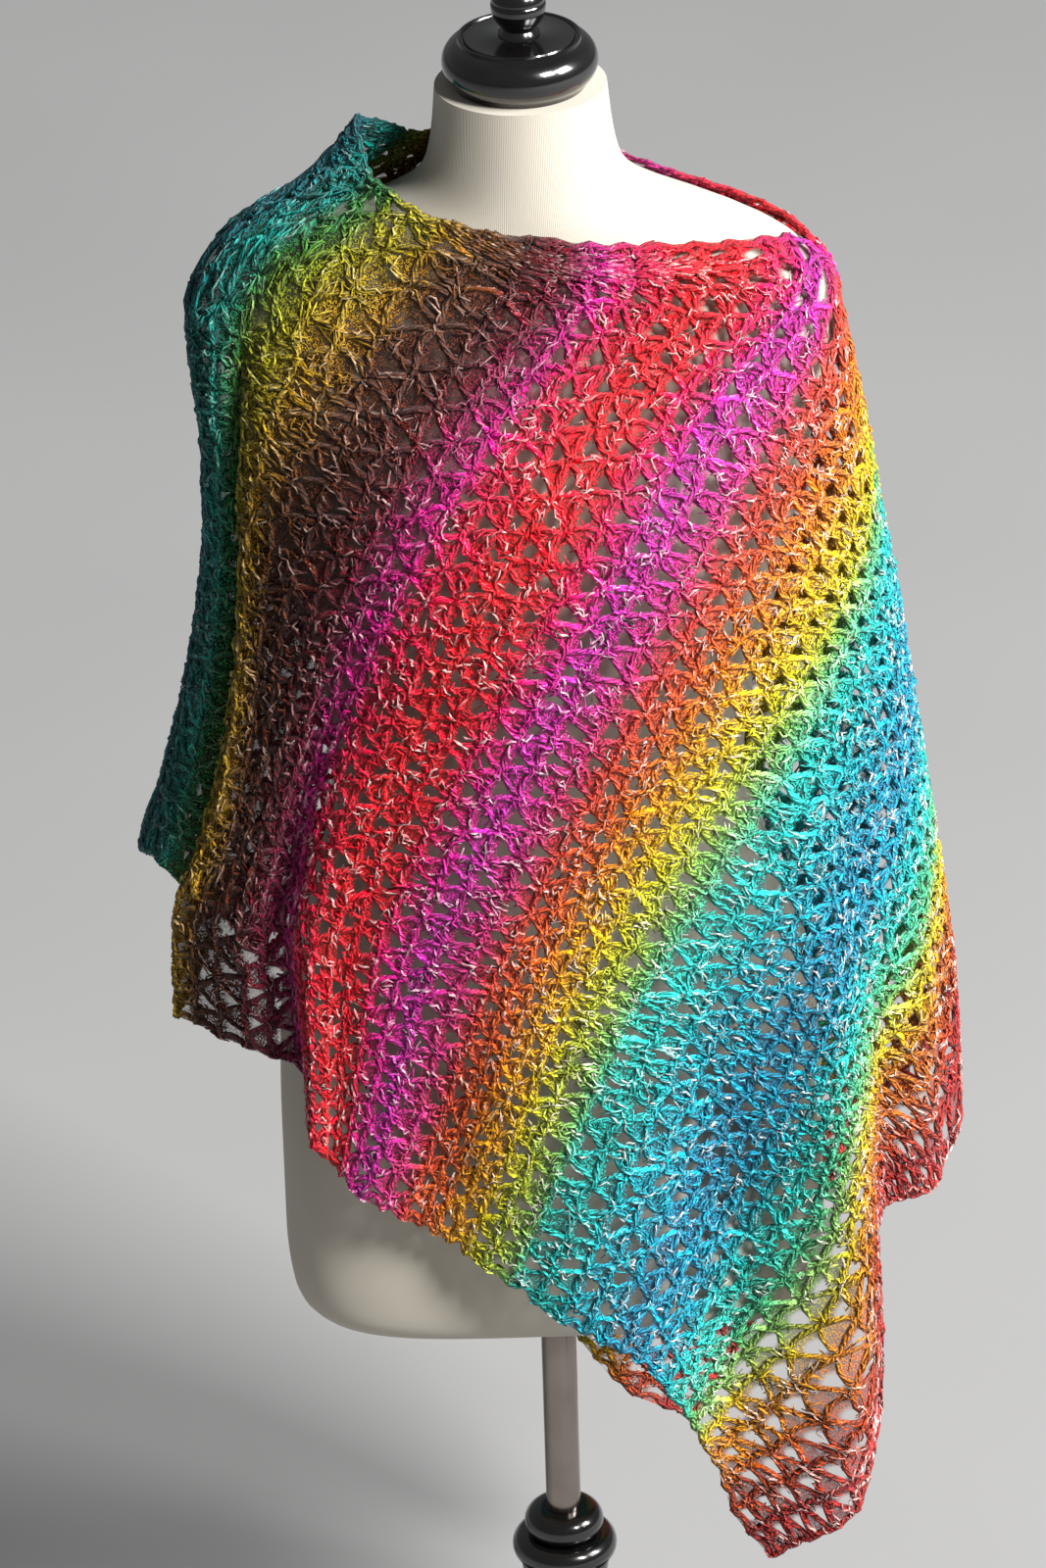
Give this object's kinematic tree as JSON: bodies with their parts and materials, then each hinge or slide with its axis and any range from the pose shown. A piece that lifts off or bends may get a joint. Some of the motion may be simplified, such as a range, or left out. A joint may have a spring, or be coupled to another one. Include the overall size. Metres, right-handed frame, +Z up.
{
  "type": "poncho on a dress form",
  "caption": "Open-work crocheted poncho, off one shoulder line with a long side point, hanging on a limbless dress form with a turned cap, a tube and a round foot.",
  "frame": {"origin": "centre of the underside of the stand's round foot", "axes": "+Z up along the tube and the form; the form faces -Y; the poncho's joined side and long point are on the +X side and its fold is over the -X shoulder"},
  "size_m": [0.5014, 0.3099, 1.2532],
  "materials": {
    "front_panel": "fuzzy striped yarn in an open crochet net",
    "back_panel": "fuzzy striped yarn in an open crochet net",
    "dress_form": "cream jersey drawn over the form",
    "neck_cap": "black gloss lacquer",
    "pole": "polished",
    "stand_base": "black gloss lacquer"
  },
  "bodies": {
    "root": {"front_panel": "front_panel", "back_panel": "back_panel", "dress_form": "dress_form", "neck_cap": "neck_cap", "pole": "pole", "stand_base": "stand_base"}
  },
  "joints": []
}
